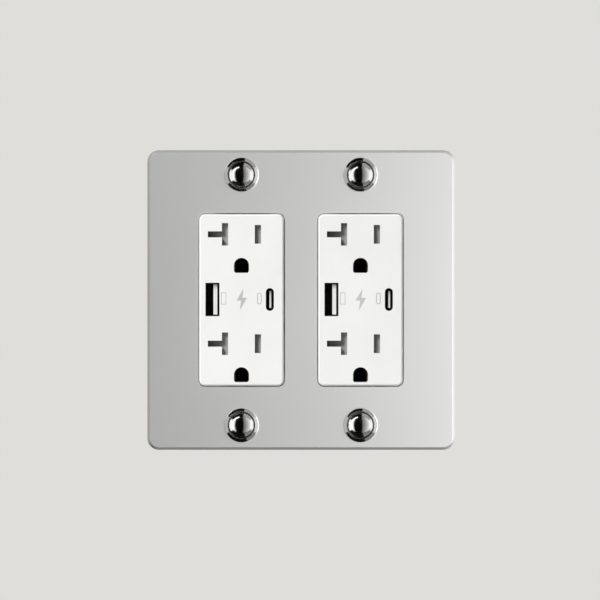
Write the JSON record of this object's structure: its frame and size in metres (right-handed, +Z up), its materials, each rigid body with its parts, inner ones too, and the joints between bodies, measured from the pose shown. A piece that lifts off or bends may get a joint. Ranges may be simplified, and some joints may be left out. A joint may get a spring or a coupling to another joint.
{
  "type": "socket outlet",
  "caption": "Two-gang wall socket outlet with a steel plate, domed screws, shuttered T-slot receptacles and charging ports.",
  "frame": {"origin": "centre of the plate on the wall plane, which is also the centre of the four box screws", "axes": "+Z up, +Y into the wall, +X to the right as seen from the room; the front faces -Y"},
  "size_m": [0.119, 0.0433, 0.116],
  "materials": {
    "black_plastic": "matte",
    "capacitor_sleeve": "sleeve",
    "cover_plastic": "semi-gloss",
    "contact_brass": "bright",
    "screw_green": "green",
    "divider_plastic": "matte",
    "clamp_steel": "zinc plated",
    "screw_brass": "bright",
    "shutter_plastic": "matte",
    "spring_steel": "bright",
    "screw_zinc": "zinc plated",
    "strap_steel": "zinc plated",
    "contact_plated": "nickel plated",
    "screw_plated": "nickel plated",
    "port_metal": "nickel plated",
    "tongue_plastic": "semi-gloss",
    "circuit_board": "solder mask",
    "body_plastic": "matte",
    "retainer_fibre": "pressed fibre",
    "transformer_tape": "taped winding and ferrite",
    "dome_chrome": "polished",
    "collar_chrome": "polished",
    "satin_steel": "satin"
  },
  "bodies": {
    "outlet": {"left_board_header": "black_plastic", "left_capacitors": "capacitor_sleeve", "left_face_cover": "cover_plastic", "left_ground_contact": "contact_brass", "left_ground_screw": "screw_green", "left_inner_divider": "divider_plastic", "left_line_clamps": "clamp_steel", "left_line_contact": "contact_brass", "left_line_screws": "screw_brass", "left_lower_shutter_spring": "spring_steel", "left_mounting_screws": "screw_zinc", "left_mounting_strap": "strap_steel", "left_neutral_clamps": "clamp_steel", "left_neutral_contact": "contact_plated", "left_neutral_screws": "screw_plated", "left_oval_port_shell": "port_metal", "left_oval_port_tongue": "tongue_plastic", "left_port_board": "circuit_board", "left_power_board": "circuit_board", "left_rear_body": "body_plastic", "left_screw_retainers": "retainer_fibre", "left_transformer": "transformer_tape", "left_upper_shutter_spring": "spring_steel", "left_wide_port_shell": "port_metal", "left_wide_port_tongue": "tongue_plastic", "plate_screws": "dome_chrome", "right_board_header": "black_plastic", "right_capacitors": "capacitor_sleeve", "right_face_cover": "cover_plastic", "right_ground_contact": "contact_brass", "right_ground_screw": "screw_green", "right_inner_divider": "divider_plastic", "right_line_clamps": "clamp_steel", "right_line_contact": "contact_brass", "right_line_screws": "screw_brass", "right_lower_shutter_spring": "spring_steel", "right_mounting_screws": "screw_zinc", "right_mounting_strap": "strap_steel", "right_neutral_clamps": "clamp_steel", "right_neutral_contact": "contact_plated", "right_neutral_screws": "screw_plated", "right_oval_port_shell": "port_metal", "right_oval_port_tongue": "tongue_plastic", "right_port_board": "circuit_board", "right_power_board": "circuit_board", "right_rear_body": "body_plastic", "right_screw_retainers": "retainer_fibre", "right_transformer": "transformer_tape", "right_upper_shutter_spring": "spring_steel", "right_wide_port_shell": "port_metal", "right_wide_port_tongue": "tongue_plastic", "screw_collars": "collar_chrome", "wall_plate": "satin_steel"},
    "left_upper_shutter": {"left_upper_shutter": "shutter_plastic"},
    "left_lower_shutter": {"left_lower_shutter": "shutter_plastic"},
    "right_upper_shutter": {"right_upper_shutter": "shutter_plastic"},
    "right_lower_shutter": {"right_lower_shutter": "shutter_plastic"}
  },
  "joints": [
    {"name": "left_upper_shutter_slide", "type": "slide", "parent": "outlet", "child": "left_upper_shutter", "axis": [1, 0, 0], "range_m": [0, 0.0076], "stiffness_N_per_m": 80, "springref_m": -0.003, "deforming": ["left_upper_shutter_spring"]},
    {"name": "left_lower_shutter_slide", "type": "slide", "parent": "outlet", "child": "left_lower_shutter", "axis": [1, 0, 0], "range_m": [0, 0.0076], "stiffness_N_per_m": 80, "springref_m": -0.003, "deforming": ["left_lower_shutter_spring"]},
    {"name": "right_upper_shutter_slide", "type": "slide", "parent": "outlet", "child": "right_upper_shutter", "axis": [1, 0, 0], "range_m": [0, 0.0076], "stiffness_N_per_m": 80, "springref_m": -0.003, "deforming": ["right_upper_shutter_spring"]},
    {"name": "right_lower_shutter_slide", "type": "slide", "parent": "outlet", "child": "right_lower_shutter", "axis": [1, 0, 0], "range_m": [0, 0.0076], "stiffness_N_per_m": 80, "springref_m": -0.003, "deforming": ["right_lower_shutter_spring"]}
  ]
}
